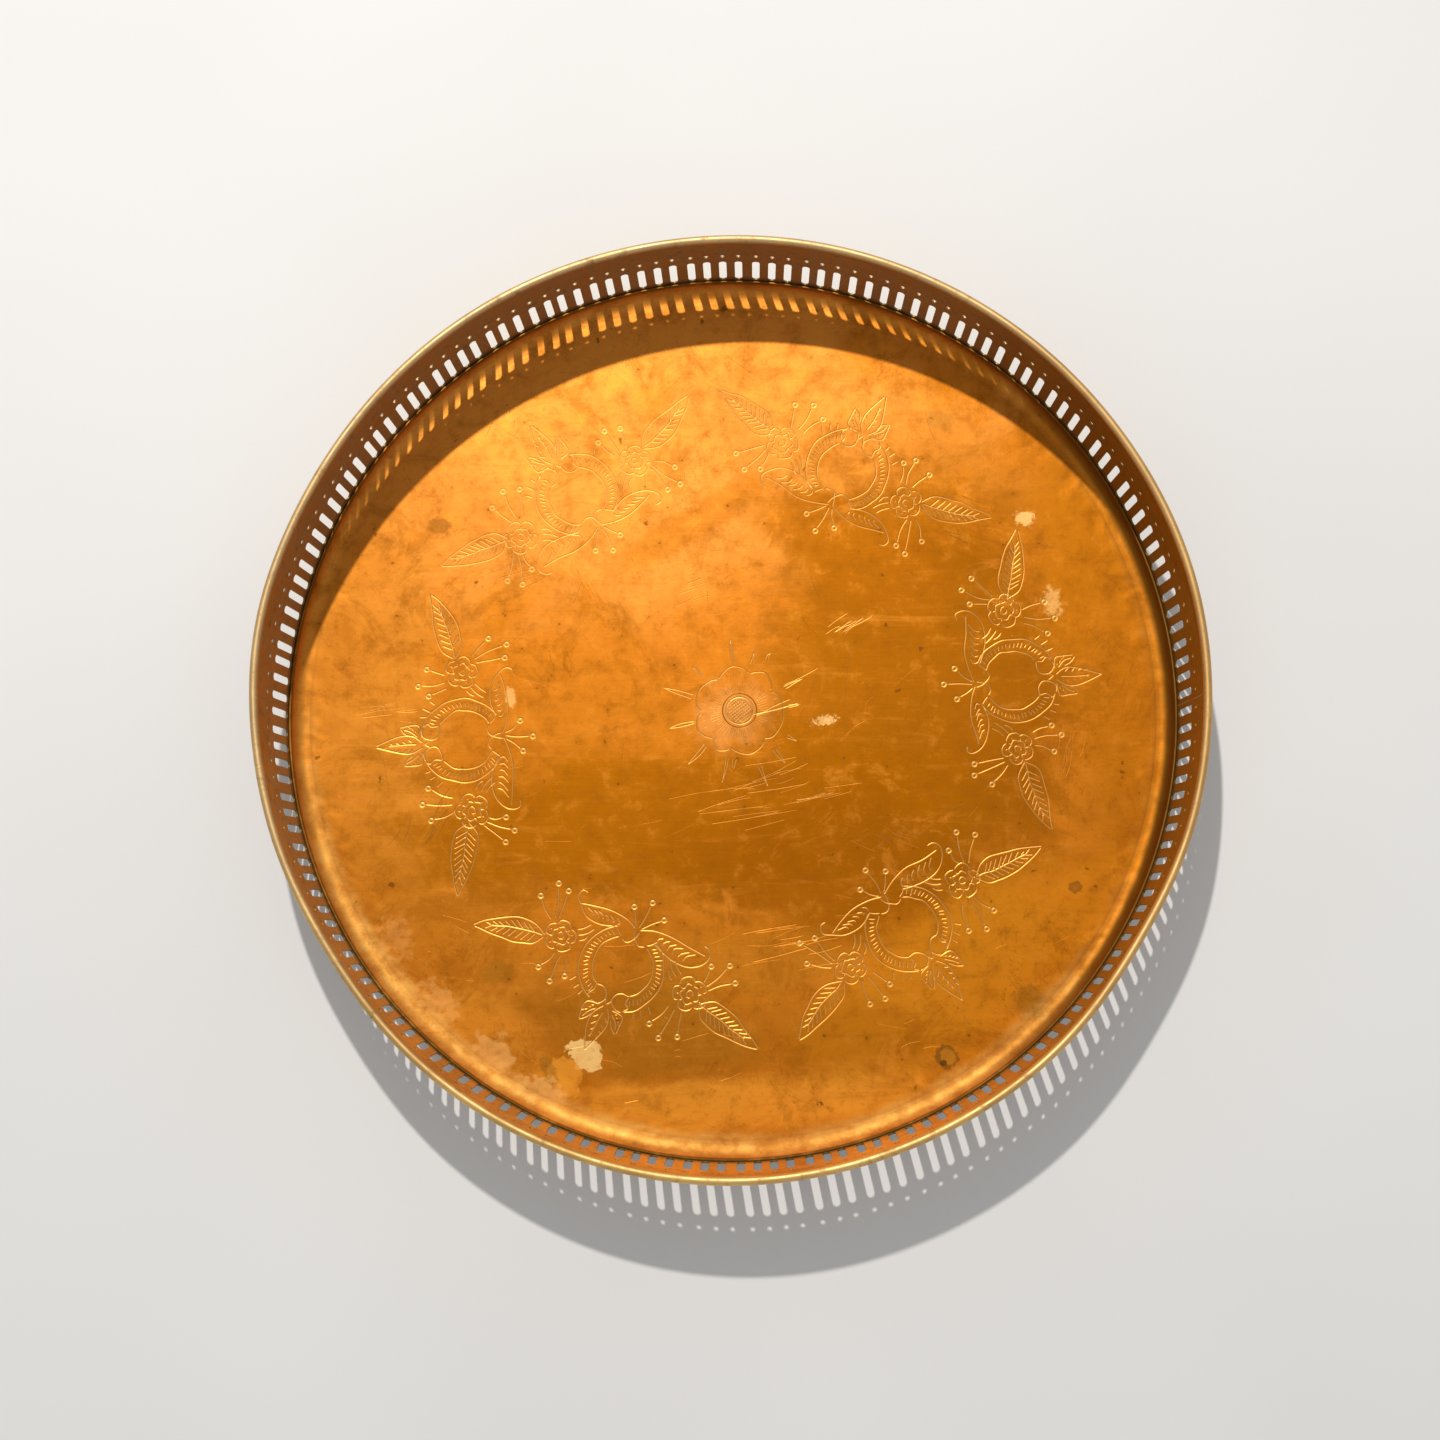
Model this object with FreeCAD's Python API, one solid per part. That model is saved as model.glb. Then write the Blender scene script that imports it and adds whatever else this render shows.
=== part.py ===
"""Round brass gallery tray, 18 inches across, the top of a tray table.

Millimetres, +Z up. The origin is the middle of the flat underside, so the tray rests on z = 0.
The tray is a dished pan. Two pierced strips, each half of the circle, stand round it as the gallery
and are soldered on. A slit brass tube with a steel wire inside it closes the gallery's top edge.
"""
import FreeCAD
import Part
import os
from math import asin, cos, degrees, radians, sin, sqrt, tan

Vector = FreeCAD.Vector
UP = Vector(0, 0, 1)
CENTRE = Vector(0, 0, 0)

# Whole tray
RIM_DIAMETER = 457.2        # outside the rim bead: 18 inches
RIM_HEIGHT = 58.8           # middle of the rim bead above the surface the tray stands on

# Pan
PAN_SHEET = 1.2             # sheet thickness of the pan
COVE_RADIUS = 7.0           # inside radius where the floor turns up into the wall
UPSTAND_TOP = 8.0           # height of the pan's turned-up edge

# Gallery wall
WALL_FLARE = radians(5.6)   # lean of the pierced wall away from upright
STRIP_SHEET = 0.9           # sheet thickness of the gallery strips
STRIP_FOOT = 5.0            # height of the strips' lower edge, outside the pan
STRIP_BEND = 39.0           # height where the wall turns almost upright, above the piercings

# Piercings: a long slot with a small round hole above it, at an even pitch
SLOT_COUNT = 168
SLOT_WIDTH = 3.8
SLOT_BOTTOM = 9.0
SLOT_TOP = 30.0
SLOT_MID_RADIUS = 223.6     # middle of the sheet at the slots' lower ends
DOT_DIAMETER = 2.4
DOT_HEIGHT = 36.0

# Rim
BEAD_RADIUS = 2.1           # outside of the bead's section
WIRE_BORE = 1.2             # inside of the bead's section
WIRE_RADIUS = 1.15

# Solder
JOINT_GAP = 0.4             # width of the upright seams between the two strips
SEAM_FOOT = 2.2             # height of the foot seam's lower edge on the pan
SEAM_TOP = 7.8              # height of its upper edge on the strips
SEAM_PROUD = 0.8            # how far it stands out from the strips' lower edge
SEAM_BANDS = 4              # its hollow face is made in this many bands, to fit the cove closely

# The strips' inner face and the pan's outer face lie on one cone
STRIP_ACROSS = STRIP_SHEET / cos(WALL_FLARE)
CONE_RADIUS = SLOT_MID_RADIUS - STRIP_ACROSS / 2
BEAD_MID_RADIUS = RIM_DIAMETER / 2 - BEAD_RADIUS
STRIP_TOP = RIM_HEIGHT - WIRE_BORE
SLOT_PITCH = 360.0 / SLOT_COUNT
JOINT_TRIM = degrees(JOINT_GAP / 2 / SLOT_MID_RADIUS)
CUTTER_REACH = 20.0


def cone_radius(height):
    """Radius of the face that the pan's upstand and the strips share."""
    return CONE_RADIUS + (height - SLOT_BOTTOM) * tan(WALL_FLARE)


def point(radius, height):
    return Vector(radius, 0, height)


def line(start, end):
    return Part.LineSegment(start, end).toShape()


def arc(start, middle, end):
    return Part.Arc(start, middle, end).toShape()


def revolve(edges, start=0.0, sweep=360.0):
    """Turn a closed section, given as edges in the XZ plane, about the tray's axis."""
    section = Part.Face(Part.Wire(edges))
    solid = section.revolve(CENTRE, UP, sweep)
    solid.rotate(CENTRE, UP, start)
    return solid


def polygon(points):
    closed = points[1:] + points[:1]
    return [line(a, b) for a, b in zip(points, closed)]


def cove_centre():
    """Middle of the arcs, inside and outside the sheet, that join the pan's floor to its upstand."""
    height = PAN_SHEET + COVE_RADIUS
    outer = COVE_RADIUS + PAN_SHEET
    end_height = height - outer * sin(WALL_FLARE)
    radius = cone_radius(end_height) - outer * cos(WALL_FLARE)
    return radius, height


def on_cove(distance, angle):
    """Point at a distance from the cove's middle, at an angle below level."""
    radius, height = cove_centre()
    return point(radius + distance * cos(angle), height - distance * sin(angle))


def tray_pan():
    """Flat round floor with a cove and a short upstand, one sheet thick."""
    radius, height = cove_centre()
    outer = COVE_RADIUS + PAN_SHEET
    lean = Vector(sin(WALL_FLARE), 0, cos(WALL_FLARE))
    quarter = radians(90)
    middle = (quarter + WALL_FLARE) / 2
    inner_low = on_cove(COVE_RADIUS, quarter)
    inner_high = on_cove(COVE_RADIUS, WALL_FLARE)
    outer_low = on_cove(outer, quarter)
    outer_high = on_cove(outer, WALL_FLARE)
    rise = (UPSTAND_TOP - outer_high.z) / cos(WALL_FLARE)
    inner_top = inner_high + lean * rise
    outer_top = outer_high + lean * rise
    return revolve([
        line(point(0, 0), outer_low),
        arc(outer_low, on_cove(outer, middle), outer_high),
        line(outer_high, outer_top),
        line(outer_top, inner_top),
        line(inner_top, inner_high),
        arc(inner_high, on_cove(COVE_RADIUS, middle), inner_low),
        line(inner_low, point(0, PAN_SHEET)),
        line(point(0, PAN_SHEET), point(0, 0)),
    ])


def strip_section():
    """Section of a gallery strip: a leaning pierced part, then a band that rises into the bead."""
    foot = cone_radius(STRIP_FOOT)
    bend = cone_radius(STRIP_BEND)
    top = BEAD_MID_RADIUS - STRIP_ACROSS / 2
    slit = RIM_HEIGHT - BEAD_RADIUS
    return polygon([
        point(foot, STRIP_FOOT),
        point(foot + STRIP_ACROSS, STRIP_FOOT),
        point(bend + STRIP_ACROSS, STRIP_BEND),
        point(top + STRIP_ACROSS, slit),
        point(top + STRIP_ACROSS, STRIP_TOP),
        point(top, STRIP_TOP),
        point(top, slit),
        point(bend, STRIP_BEND),
    ])


def upright_slot():
    """Cutter for one slot, a bar with round ends that points along +X through the wall."""
    half = SLOT_WIDTH / 2
    start = SLOT_MID_RADIUS - CUTTER_REACH / 2
    low = point(start, SLOT_BOTTOM + half)
    high = point(start, SLOT_TOP - half)
    side = Vector(0, half, 0)
    drop = Vector(0, 0, half)
    outline = Part.Wire([
        line(low + side, high + side),
        arc(high + side, high + drop, high - side),
        line(high - side, low - side),
        arc(low - side, low - drop, low + side),
    ])
    return Part.Face(outline).extrude(Vector(CUTTER_REACH, 0, 0))


def dot_hole():
    """Cutter for the small round hole above one slot."""
    start = point(SLOT_MID_RADIUS - CUTTER_REACH / 2, DOT_HEIGHT)
    return Part.makeCylinder(DOT_DIAMETER / 2, CUTTER_REACH, start, Vector(1, 0, 0))


def gallery_strip(start):
    """Half of the gallery, from the joint at the start angle to the joint opposite."""
    strip = revolve(strip_section(), start + JOINT_TRIM, 180.0 - 2 * JOINT_TRIM)
    cutters = []
    for index in range(SLOT_COUNT // 2):
        angle = start + (index + 0.5) * SLOT_PITCH
        for cutter in (upright_slot(), dot_hole()):
            cutter.rotate(CENTRE, UP, angle)
            cutters.append(cutter)
    return strip.cut(cutters)


def joint_solder():
    """The two upright seams that fill the gaps between the strips' ends."""
    seams = [revolve(strip_section(), side - JOINT_TRIM, 2 * JOINT_TRIM) for side in (0.0, 180.0)]
    return Part.makeCompound(seams)


def rim_bead():
    """Slit tube round the top edge: its slit grips the strips and its bore holds the wire."""
    half = STRIP_ACROSS / 2
    outer_drop = sqrt(BEAD_RADIUS ** 2 - half ** 2)
    bore_drop = sqrt(WIRE_BORE ** 2 - half ** 2)
    lip_in = point(BEAD_MID_RADIUS - half, RIM_HEIGHT - outer_drop)
    lip_out = point(BEAD_MID_RADIUS + half, RIM_HEIGHT - outer_drop)
    bore_in = point(BEAD_MID_RADIUS - half, RIM_HEIGHT - bore_drop)
    bore_out = point(BEAD_MID_RADIUS + half, RIM_HEIGHT - bore_drop)
    return revolve([
        line(lip_in, bore_in),
        arc(bore_in, point(BEAD_MID_RADIUS, RIM_HEIGHT + WIRE_BORE), bore_out),
        line(bore_out, lip_out),
        arc(lip_out, point(BEAD_MID_RADIUS, RIM_HEIGHT + BEAD_RADIUS), lip_in),
    ])


def rim_wire():
    return Part.makeTorus(BEAD_MID_RADIUS, WIRE_RADIUS, Vector(0, 0, RIM_HEIGHT))


def foot_solder():
    """Outside seam of solder that fills the corner under the strips' lower edge and laps over it."""
    height = cove_centre()[1]
    outer = COVE_RADIUS + PAN_SHEET
    low_angle = asin((height - SEAM_FOOT) / outer)
    high_angle = asin((height - STRIP_FOOT) / outer)
    low = on_cove(outer, low_angle)
    high = on_cove(outer, high_angle)
    edge = point(cone_radius(STRIP_FOOT) + STRIP_ACROSS, STRIP_FOOT)
    crown = edge + Vector(SEAM_PROUD, 0, SEAM_PROUD)
    top = point(cone_radius(SEAM_TOP) + STRIP_ACROSS, SEAM_TOP)
    hollow = []
    band = (low_angle - high_angle) / SEAM_BANDS
    for index in range(SEAM_BANDS):
        angle = high_angle + index * band
        points = [on_cove(outer, angle + part * band) for part in (0, 0.5, 1)]
        hollow.append(arc(*points))
    return revolve([line(low, crown), line(crown, top), line(top, edge), line(edge, high)] + hollow)


def main():
    os.makedirs("parts", exist_ok=True)
    nodes = {
        "tray_pan": tray_pan(),
        "gallery_strip_front": gallery_strip(180.0),
        "gallery_strip_back": gallery_strip(0.0),
        "gallery_joint_solder": joint_solder(),
        "rim_bead": rim_bead(),
        "rim_wire": rim_wire(),
        "foot_solder_seam": foot_solder(),
    }
    for name, shape in nodes.items():
        shape.exportStep("parts/" + name + ".step")
        print(name, "solids", len(shape.Solids), "valid", shape.isValid(), "mm3", round(shape.Volume))


main()
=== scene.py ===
"""Looks of the round brass gallery tray: engraved pan, pierced gallery, wired rim, patina and light.

Shapes are worked out in millimetres in the CAD frame and written to meshes in metres.
"""

import random
from math import asin, atan2, ceil, cos, degrees, exp, hypot, pi, radians, sin, sqrt, tan

import bpy
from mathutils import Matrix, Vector
from mathutils.geometry import delaunay_2d_cdt
from mathutils.kdtree import KDTree


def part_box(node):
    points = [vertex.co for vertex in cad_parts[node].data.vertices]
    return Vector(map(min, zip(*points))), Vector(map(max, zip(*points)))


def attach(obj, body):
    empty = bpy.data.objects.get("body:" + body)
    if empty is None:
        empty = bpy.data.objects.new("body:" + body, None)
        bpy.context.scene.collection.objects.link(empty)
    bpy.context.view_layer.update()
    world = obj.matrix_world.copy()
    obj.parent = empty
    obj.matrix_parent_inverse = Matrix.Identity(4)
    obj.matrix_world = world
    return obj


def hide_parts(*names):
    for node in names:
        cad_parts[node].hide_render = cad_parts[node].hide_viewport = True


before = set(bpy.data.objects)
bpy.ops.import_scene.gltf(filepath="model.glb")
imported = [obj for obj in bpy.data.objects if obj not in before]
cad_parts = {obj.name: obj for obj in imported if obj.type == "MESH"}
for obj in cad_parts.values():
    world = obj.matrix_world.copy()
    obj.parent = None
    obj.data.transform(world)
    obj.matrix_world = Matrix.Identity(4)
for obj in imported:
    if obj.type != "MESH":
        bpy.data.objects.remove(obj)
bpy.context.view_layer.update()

MM = 0.001


def node_box(node):
    """Lowest and highest corner of a CAD node, in millimetres."""
    low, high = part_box(node)
    return low / MM, high / MM


pan_high = node_box("tray_pan")[1]
strip_low, strip_high = node_box("gallery_strip_back")
bead_low, bead_high = node_box("rim_bead")
wire_low, wire_high = node_box("rim_wire")

# Sizes the boxes give
RIM_RADIUS = bead_high.x
BEAD_RADIUS = (bead_high.z - bead_low.z) / 2
BEAD_MID = RIM_RADIUS - BEAD_RADIUS
RIM_HEIGHT = (bead_high.z + bead_low.z) / 2
WIRE_RADIUS = (wire_high.z - wire_low.z) / 2
UPSTAND_TOP = pan_high.z
UPSTAND_RADIUS = pan_high.x
STRIP_FOOT = strip_low.z
STRIP_TOP = strip_high.z

# Sizes the boxes don't give, as in the CAD part
WALL_FLARE = radians(5.6)
PAN_SHEET = 1.2
COVE_RADIUS = 7.0
STRIP_SHEET = 0.9
STRIP_BEND = 39.0
SLOT_COUNT = 168
SLOT_WIDTH = 3.8
SLOT_BOTTOM = 9.0
SLOT_TOP = 30.0
DOT_RADIUS = 1.2
DOT_HEIGHT = 36.0
JOINT_GAP = 0.4
WIRE_BORE = 1.2
SLIT = RIM_HEIGHT - BEAD_RADIUS
STRIP_ACROSS = STRIP_SHEET / cos(WALL_FLARE)

# Hand work and wear
ROUND_STEPS = 336
RIM_DENTS = (  # angle, how far out in mm, spread in degrees
    (15, 1.4, 16),
    (105, -0.9, 25),
    (172, 2.4, 14),
    (213, -2.0, 13),
    (265, 1.2, 28),
    (328, -2.3, 12),
)
RIM_WAVES = ((3, 0.35, 40), (5, 0.25, 200), (9, 0.12, 90))  # count, height in mm, angle

hand = random.Random(7)  # the engraver's hand and every scratch


# -------- helpers for shapes

def cone_radius(height):
    """Radius of the face that the pan's upstand and the gallery share."""
    return UPSTAND_RADIUS + (height - UPSTAND_TOP) * tan(WALL_FLARE)


def strip_mid(height):
    """Radius of the middle of the gallery's sheet at a height."""
    if height <= STRIP_BEND:
        return cone_radius(height) + STRIP_ACROSS / 2
    low = cone_radius(STRIP_BEND) + STRIP_ACROSS / 2
    part = min((height - STRIP_BEND) / (SLIT - STRIP_BEND), 1.0)
    return low + (BEAD_MID - low) * part


JOINT_TRIM = degrees(JOINT_GAP / 2 / strip_mid(SLOT_BOTTOM))


def angle_from(a, b):
    """Smallest angle from b to a, in degrees."""
    return (a - b + 180.0) % 360.0 - 180.0


def polar(centre, radius, angle):
    """Point at a distance and an angle, in radians, from a centre."""
    return (centre[0] + radius * cos(angle), centre[1] + radius * sin(angle))


def handled(radius, angle, height):
    """A point of the wall or rim, pushed about by years of handling. Angle in degrees."""
    share = min(max((height - SLOT_BOTTOM) / (RIM_HEIGHT - SLOT_BOTTOM), 0.0), 1.0)
    out = sum(far * exp(-(angle_from(angle, at) / spread) ** 2) for at, far, spread in RIM_DENTS)
    up = sum(high * sin(radians(count * angle + at)) for count, high, at in RIM_WAVES)
    r = radius + out * share
    a = radians(angle)
    return r * cos(a), r * sin(a), height + up * share ** 2


def carry(piece, name, values):
    """Give each point of a piece a number that its material reads."""
    piece.data.attributes.new(name, "FLOAT", "POINT").data.foreach_set("value", values)


def new_object(name, vertices, faces, smooth_angle=None):
    """Mesh object from points in millimetres. Edges sharper than the angle stay sharp."""
    mesh = bpy.data.meshes.new(name)
    mesh.from_pydata([(x * MM, y * MM, z * MM) for x, y, z in vertices], [], faces)
    mesh.validate()
    if smooth_angle is not None:
        mesh.shade_smooth()
        mesh.set_sharp_from_angle(angle=smooth_angle)
    obj = bpy.data.objects.new(name, mesh)
    bpy.context.collection.objects.link(obj)
    return obj


def arc_points(centre, radius, start, end, steps):
    """Points on an arc, both ends included. Angles in degrees."""
    return [polar(centre, radius, radians(start + (end - start) * k / steps)) for k in range(steps + 1)]


def revolve(section, start=0.0, sweep=360.0, steps=ROUND_STEPS):
    """Vertices and faces of a closed (radius, height) section turned about the tray's axis."""
    whole = sweep >= 360.0
    turns = steps if whole else steps + 1
    count = len(section)
    vertices = []
    for k in range(turns):
        angle = start + sweep * k / steps
        vertices += [handled(r, angle, z) for r, z in section]
    faces = []
    for k in range(steps):
        a = k * count
        b = ((k + 1) % turns) * count
        for i in range(count):
            j = (i + 1) % count
            faces.append((a + i, b + i, b + j, a + j))
    if not whole:
        faces.append(tuple(range(count)))
        faces.append(tuple(reversed(range((turns - 1) * count, turns * count))))
    return vertices, faces


# -------- the engraving, as strokes

strokes = []  # each: points, half width, depth, brightness, closed


def cut(points, half=0.42, depth=0.15, bright=1.0, closed=False):
    """Cut one stroke, a line of points, into the floor. Sizes in millimetres."""
    strokes.append((points, half, depth, bright, closed))


MIDDLE = (0.0, 0.0)
STEP = 1.15  # spacing of points along a stroke


def curve(points, closed=False):
    """Smooth line through the points, a point about every STEP."""
    n = len(points)
    if n == 2:
        return resample(points)
    fine = []
    spans = n if closed else n - 1
    for k in range(spans):
        p1, p2 = points[k], points[(k + 1) % n]
        p0 = points[k - 1] if closed or k > 0 else p1
        p3 = points[(k + 2) % n] if closed or k + 2 < n else p2
        for s in range(6):
            t = s / 6
            fine.append(tuple(
                0.5 * (2 * b + (c - a) * t + (2 * a - 5 * b + 4 * c - d) * t * t
                       + (3 * b - a - 3 * c + d) * t ** 3)
                for a, b, c, d in zip(p0, p1, p2, p3)
            ))
    fine.append(points[0] if closed else points[-1])
    line = resample(fine)
    return line[:-1] if closed else line


def resample(points):
    """The same line with evenly spaced points, both ends kept."""
    lengths = [hypot(b[0] - a[0], b[1] - a[1]) for a, b in zip(points, points[1:])]
    total = sum(lengths)
    count = max(2, ceil(total / STEP))
    out = [points[0]]
    at, k = 0.0, 0
    for i in range(1, count):
        want = total * i / count
        while at + lengths[k] < want:
            at += lengths[k]
            k += 1
        t = (want - at) / lengths[k]
        a, b = points[k], points[k + 1]
        out.append((a[0] + (b[0] - a[0]) * t, a[1] + (b[1] - a[1]) * t))
    out.append(points[-1])
    return out


def circle(centre, radius, count=None):
    count = count or max(8, round(2 * pi * radius / STEP))
    return [polar(centre, radius, 2 * pi * k / count) for k in range(count)]


def between(a, b, t):
    return (a[0] + (b[0] - a[0]) * t, a[1] + (b[1] - a[1]) * t)


def crescent():
    """Half of the wreath's ring: two arcs, their ends, and ticks across the band."""
    outer = arc_points((0, 0.5), 21.3, -60, 66, 8)
    inner = arc_points((0, -0.5), 15, -64, 54, 8)
    ends = [[outer[-1], (10.6, 17.4), (8.4, 15.4), inner[-1]], [outer[0], (9.2, -16.2), inner[0]]]
    lines = [outer, inner] + ends
    for k in range(18):
        a = radians(-54 + 108 * k / 17)
        lines.append([polar(MIDDLE, 16.4, a), polar(MIDDLE, 20, a + radians(3))])
    for x, y, dx, dy in ((13.5, 17.3, 1.2, 4), (16.4, 15, 2.2, 4.2), (19, 12, 3, 3.6)):
        lines.append([(x, y), (x + dx, y + dy)])
    return lines


def ring_ends():
    """The curled ends of the ring: a knob at the top and a scroll at the bottom."""
    return [
        [(9.2, 11.8), (5.4, 11.6), (2.4, 13.8), (2, 17.4), (4.6, 20.4), (8.8, 20.2)],
        [(2, 16.5), (0, 20)],
        [(6.6, -13.8), (3.6, -12.6), (1, -14), (-0.8, -17), (-1.6, -20.2)],
    ]


def scroll_leaf(upper, lower, hatches=6):
    """Curled leaf under the ring, with slanting cuts that follow its back."""
    lines = [upper, lower]
    for k in range(hatches):
        t = (k + 0.6) / (hatches + 0.8)
        a = between(upper[0], upper[2], t)
        b = between(lower[1], lower[-1], t * 0.9)
        lines.append([between(a, b, 0.12), between(a, b, 0.5), between(a, (b[0] + 4, b[1]), 0.85)])
    return lines


def leaf(base, middle, tip, upper, lower, hatches):
    """Pointed leaf on a bent midrib, bulging above and below it, with cuts from the rib."""
    def rib(t):
        return tuple((1 - t) ** 2 * a + 2 * t * (1 - t) * b + t * t * c for a, b, c in zip(base, middle, tip))

    length = hypot(tip[0] - base[0], tip[1] - base[1])
    across = (-(tip[1] - base[1]) / length, (tip[0] - base[0]) / length)

    def edge(t, bulge):
        x, y = rib(t)
        swell = bulge * sin(pi * t ** 0.66) ** 0.85
        return (x + across[0] * swell, y + across[1] * swell)

    steps = [k / 7 for k in range(8)]
    lines = [[edge(t, upper) for t in steps], [edge(t, -lower) for t in steps]]
    lines.append([rib(0.02 + 0.9 * t) for t in steps[:-1]])
    for k in range(hatches):
        t = 0.1 + 0.68 * k / hatches
        lines.append([rib(t + 0.03), edge(min(t + 0.15, 0.97), upper * 0.82)])
        lines.append([rib(t + 0.03), edge(min(t + 0.15, 0.97), -lower * 0.82)])
    return lines


PETAL_LINES = (  # along them: share of a petal's angle, share of the blossom's radius
    ((0, 0.78), (0.2, 1), (0.5, 1.06), (0.8, 1), (1, 0.78)),
    ((0, 0.78), (0, 0.5), (0.5, 0.62), (1, 0.5)),
    ((0.5, 0.66), (0.5, 0.88)),
)


def blossom(centre, radius, turn, petals=5):
    """Small scalloped flower with petals folded over its middle."""
    pitch = 360 / petals
    lines = []
    for k in range(petals):
        for line in PETAL_LINES:
            lines.append([polar(centre, radius * out, radians(k * pitch + pitch * share + turn))
                          for share, out in line])
    lines.append(arc_points(centre, radius * 0.22, turn, turn + 330, 6))
    return lines


def stalk(base, end, sag):
    """Bent stalk that stops at the edge of the berry on its end."""
    length = hypot(end[0] - base[0], end[1] - base[1])
    side = ((end[1] - base[1]) / length * sag, -(end[0] - base[0]) / length * sag)
    stop = between(base, end, 1 - 1.5 / length)
    middle = between(base, stop, 0.5)
    return [base, (middle[0] + side[0], middle[1] + side[1]), stop]


def mirrored(lines):
    return [[(-x, y) for x, y in line] for line in lines]


SCROLL_RIGHT = (
    [(9.5, -18), (18, -15.6), (26, -16.6), (31.5, -20.4), (34.6, -24.6), (33.2, -28), (29.8, -27.6)],
    [(0.5, -20), (7, -22.8), (16, -24), (25, -23), (31.5, -21.4)],
)
SCROLL_LEFT = (  # drawn to the right, then mirrored
    [(10, -16.8), (20, -12.8), (29.5, -12.6), (35.5, -16.4), (38, -21.4), (36.4, -25.4), (32.6, -25.6)],
    [(0.5, -20), (8, -22.6), (17, -23.6), (27, -21.8), (36, -21)],
)
SPRIGS = (
    [(27, -6), (23, -9), (20, -13)],
    [(28.5, -8.5), (25, -11), (22.5, -14.4)],
    [(25.6, -3.4), (22.8, -5.6), (21.6, -8.6)],
)
BERRIES = (  # foot of the stalk, middle of the berry
    ((27.5, 5.2), (24.2, 15.4)), ((30.6, 5.6), (30.4, 20.4)), ((33.8, 5.4), (38.2, 15.8)),
    ((-28.8, 7.4), (-22.6, 19.6)), ((-32, 7.8), (-30.2, 23.6)), ((-35.4, 7.6), (-38.6, 20.2)),
    ((38.6, -9.6), (39.4, -25.2)), ((40.4, -9.2), (46.2, -26.4)), ((41.8, -8), (50.4, -17.2)),
    ((-40.2, -8.6), (-41.4, -18)), ((-42.2, -7.4), (-48.6, -21.6)), ((-43.6, -5.8), (-54.4, -15.6)),
    ((-1.4, -21), (-9.4, -29.4)), ((0, -21), (-1.2, -35.4)), ((1.4, -21), (6.4, -29.8)),
)


def wreath():
    """Lines of one wreath about its ring's middle: x along the tray's circle, y outwards."""
    lines = crescent() + mirrored(crescent()) + ring_ends() + mirrored(ring_ends())
    lines += scroll_leaf(*SCROLL_RIGHT) + mirrored(scroll_leaf(*SCROLL_LEFT))
    lines += leaf((41.5, 0.5), (60, 1.5), (77, 9.5), 6.6, 5.6, 8)
    lines += mirrored(leaf((42, 1.5), (58, 6), (78, 10.5), 6.2, 6.4, 9))
    lines += blossom((34.5, -2.6), 7.6, 20)
    lines += mirrored(blossom((36, -1.2), 8.2, 55))
    for sprig in SPRIGS:
        lines += [sprig] + mirrored([sprig])
    return lines + acanthus()


def acanthus():
    """Three hatched leaf points that crown the ring's outer side."""
    lines = [
        [(-0.6, 20.4), (-3.6, 26), (-3.2, 32), (1.4, 44.6)],
        [(0.8, 20.4), (5, 26), (5.2, 33), (1.4, 44.6)],
        [(0.4, 23), (1.2, 30), (1.4, 38)],
    ]
    side = [
        [(3.2, 20.8), (9.4, 21.6), (10.2, 26), (9.8, 31.6)],
        [(9.8, 31.6), (6.6, 29), (4.6, 25.4)],
        [(4, 22.6), (7.2, 26.2), (9, 29.8)],
    ]
    for k in range(4):
        x = 5 + 1.2 * k
        side.append([(x, 22.2 + 1.2 * k), (x + 2.2, 22.6 + 1.5 * k)])
    for k in range(4):
        y = 25.5 + 3.2 * k
        side.append([(1.2, y), (3.8 - 0.5 * k, y + 2.4)])
    return lines + side + mirrored(side)


WREATHS = (  # angle round the tray, distance out in mm, how crisp the cuts still are
    (5.7, 143.5, 1),
    (64.4, 137, 0.85),
    (125.6, 136.5, 0.7),
    (186.6, 136.5, 0.95),
    (247.2, 140.5, 1.15),
    (308.5, 140.5, 1.05),
)


def place(point, angle, distance):
    """A point of a wreath's drawing, put on the tray."""
    a = radians(angle)
    x, y = point
    return ((distance + y) * cos(a) + x * sin(a), (distance + y) * sin(a) - x * cos(a))


def shaky(line, amount=0.22):
    """The line as a hand would draw it."""
    return [(x + hand.gauss(0, amount), y + hand.gauss(0, amount)) for x, y in line]


GROOVE_DEPTH = 0.15
WREATH_STROKE = 0.5  # half width of a wreath's strokes
BERRY_RADIUS = 1.15
BERRY_STROKE = 0.78  # half width, so wide that it fills the berry


def engrave_wreaths():
    lines = wreath()
    for angle, distance, crisp in WREATHS:
        def press(line, half=WREATH_STROKE, closed=False):
            cut([place(p, angle, distance) for p in line], half, GROOVE_DEPTH * crisp, crisp, closed)

        for line in lines:
            press(curve(shaky(line)))
        for base, end in BERRIES:
            end = shaky([end], 0.5)[0]
            press(curve(stalk(base, end, hand.uniform(-1.2, 1.2))))
            press(circle(end, BERRY_RADIUS), BERRY_STROKE, closed=True)


FLOWER_NOTCHES = (32, 76, 124, 182, 226, 256, 309)  # angles between the big flower's petals
FLOWER_MIDDLE = (4.0, -1.0)
FLOWER_DISC = 6.9
HATCH_PITCH = 1.35
PETAL_EDGE = ((0, 19.0), (0.18, 21.4), (0.5, 22.8), (0.82, 21.4), (1, 19.0))  # share of angle, distance
RAYS = (  # angle, start and end distance from the flower's middle
    (97, 24, 38), (76, 24, 31), (62, 29, 34), (27, 25, 36), (6, 24, 31), (332, 26, 33), (311, 25, 35),
    (290, 29, 41), (256, 24, 38), (264, 24, 30), (226, 24, 38), (194, 23, 37), (163, 25, 41), (137, 25, 33),
)


def by_flower(angle, distance):
    """Point at an angle and a distance from the big flower's middle."""
    return polar(FLOWER_MIDDLE, distance, radians(angle))


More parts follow.
